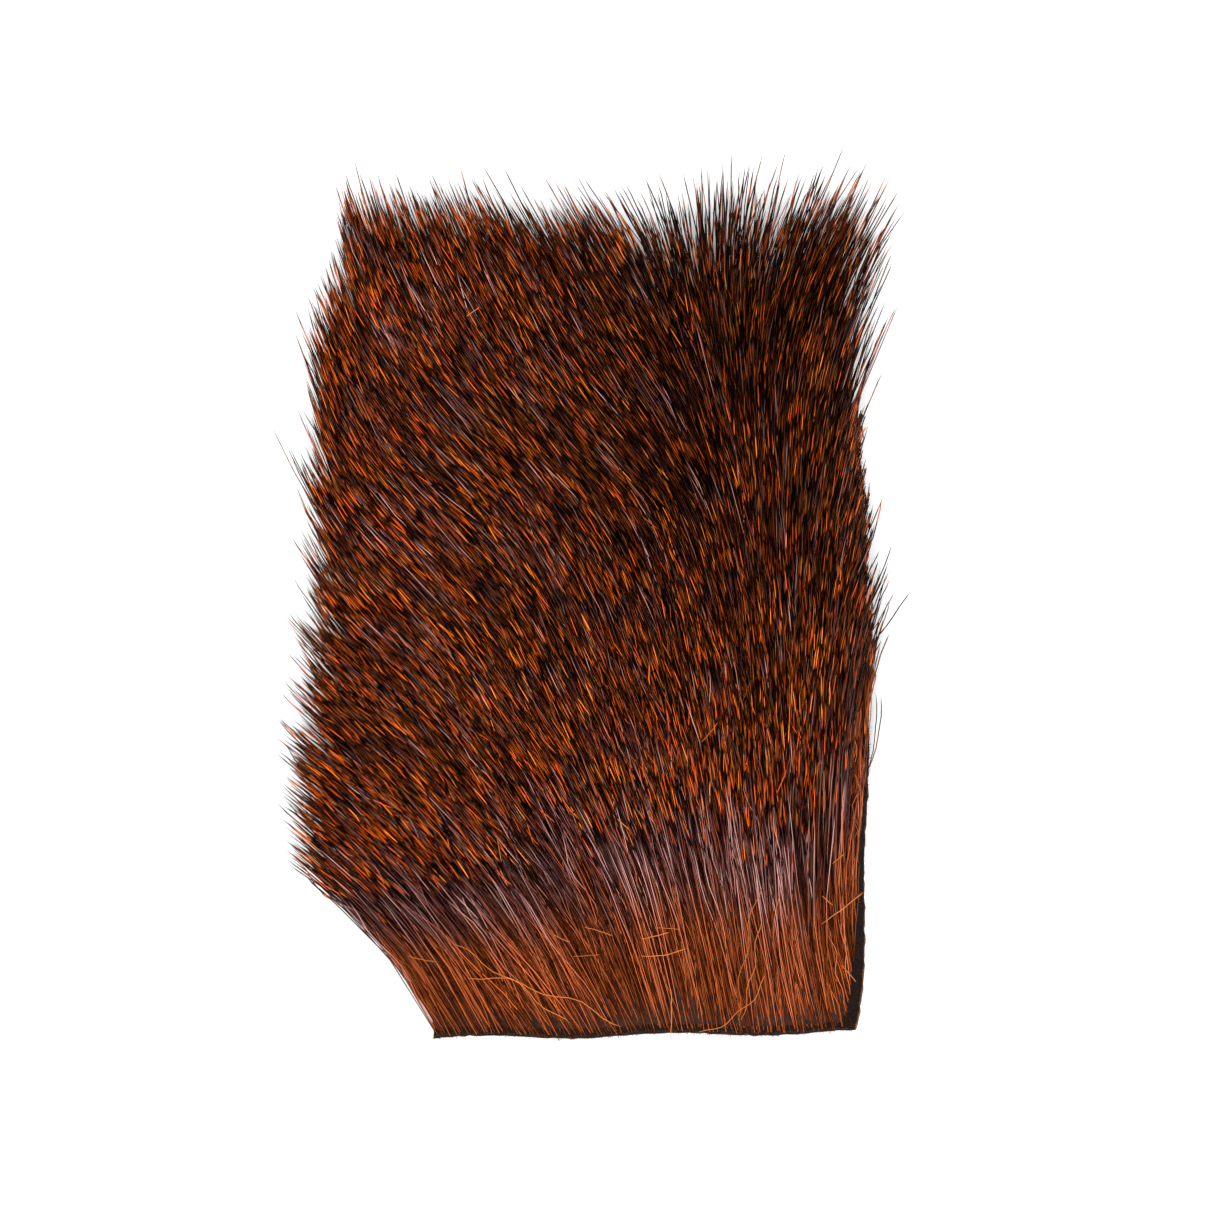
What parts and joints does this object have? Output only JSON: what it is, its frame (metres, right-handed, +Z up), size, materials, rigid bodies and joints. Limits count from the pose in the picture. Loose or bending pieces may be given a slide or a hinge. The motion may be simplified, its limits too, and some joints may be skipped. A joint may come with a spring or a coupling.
{
  "type": "deer hair patch",
  "caption": "Flat rectangular cut of dyed deer hide, skin side down, with a dense coat of banded hair combed one way and overhanging two edges.",
  "frame": {"origin": "middle of the skin's flat underside, on the surface that the patch lies on", "axes": "+Y the way the hair is combed, from roots to tips; +X across the patch, to the right seen from above; +Z up out of the hair"},
  "size_m": [0.0714, 0.1005, 0.0085],
  "materials": {
    "hair": "glossy dyed deer hair, rusty brown at the root, near black towards the tip, with a short orange band",
    "skin": "matt tanned skin, dyed through and nearly black at the knife-cut edge"
  },
  "bodies": {
    "root": {"hide": "hair"}
  },
  "joints": []
}
